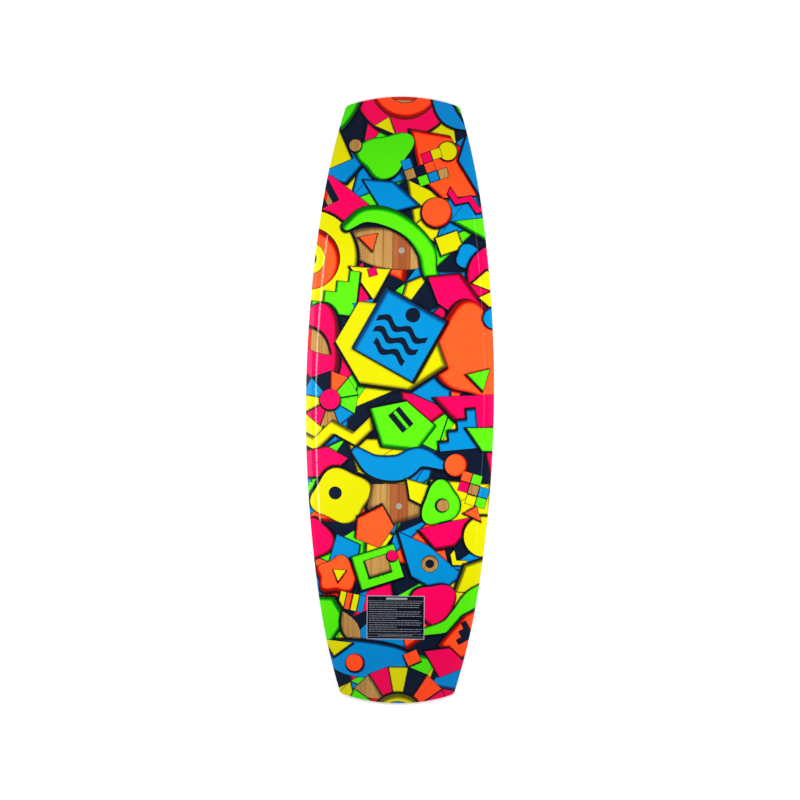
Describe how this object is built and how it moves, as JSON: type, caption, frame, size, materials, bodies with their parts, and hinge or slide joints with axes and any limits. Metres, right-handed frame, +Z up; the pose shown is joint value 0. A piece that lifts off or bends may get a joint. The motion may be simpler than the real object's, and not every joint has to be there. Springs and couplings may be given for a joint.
{
  "type": "wakeboard",
  "caption": "Twin-tip wakeboard with a printed clear base over a laminated wood core, soft bevelled rails, rocker and threaded binding inserts in the deck.",
  "frame": {"origin": "on the floor under the middle of the board, which lies deck down on its two tips", "axes": "+Z up, out of the base (the running surface); +Y along the board to its nose, the upper end in the picture; +X across the board, to the right in the picture"},
  "size_m": [0.43, 1.39, 0.0705],
  "materials": {
    "base_print": "gloss",
    "glass_laminate": "satin",
    "sidewall": "satin",
    "core_hardwood": "satin",
    "core_wood_light": "satin",
    "core_wood_dark": "satin",
    "deck_topsheet": "satin",
    "insert_steel": "satin",
    "index_plug": "matte",
    "label": "gloss"
  },
  "bodies": {
    "root": {"base_sheet": "base_print", "base_laminate": "glass_laminate", "sidewall_left": "sidewall", "sidewall_right": "sidewall", "sidewall_nose": "sidewall", "sidewall_tail": "sidewall", "core_center_stringer": "core_hardwood", "core_center_strip_nose": "core_wood_light", "core_center_strip_tail": "core_wood_light", "core_strip_left_1": "core_wood_light", "core_strip_left_2": "core_wood_dark", "core_strip_left_3": "core_wood_light", "core_strip_left_4": "core_wood_dark", "core_strip_left_5": "core_wood_light", "core_strip_left_6": "core_wood_dark", "core_strip_left_7": "core_wood_light", "core_strip_left_8": "core_wood_dark", "core_strip_left_9": "core_wood_light", "core_strip_right_1": "core_wood_light", "core_strip_right_2": "core_wood_dark", "core_strip_right_3": "core_wood_light", "core_strip_right_4": "core_wood_dark", "core_strip_right_5": "core_wood_light", "core_strip_right_6": "core_wood_dark", "core_strip_right_7": "core_wood_light", "core_strip_right_8": "core_wood_dark", "core_strip_right_9": "core_wood_light", "deck_laminate": "glass_laminate", "deck_sheet": "deck_topsheet", "front_left_inserts": "insert_steel", "front_right_inserts": "insert_steel", "rear_left_inserts": "insert_steel", "rear_right_inserts": "insert_steel", "nose_index_plug": "index_plug", "tail_index_plug": "index_plug", "care_label": "label"}
  },
  "joints": []
}
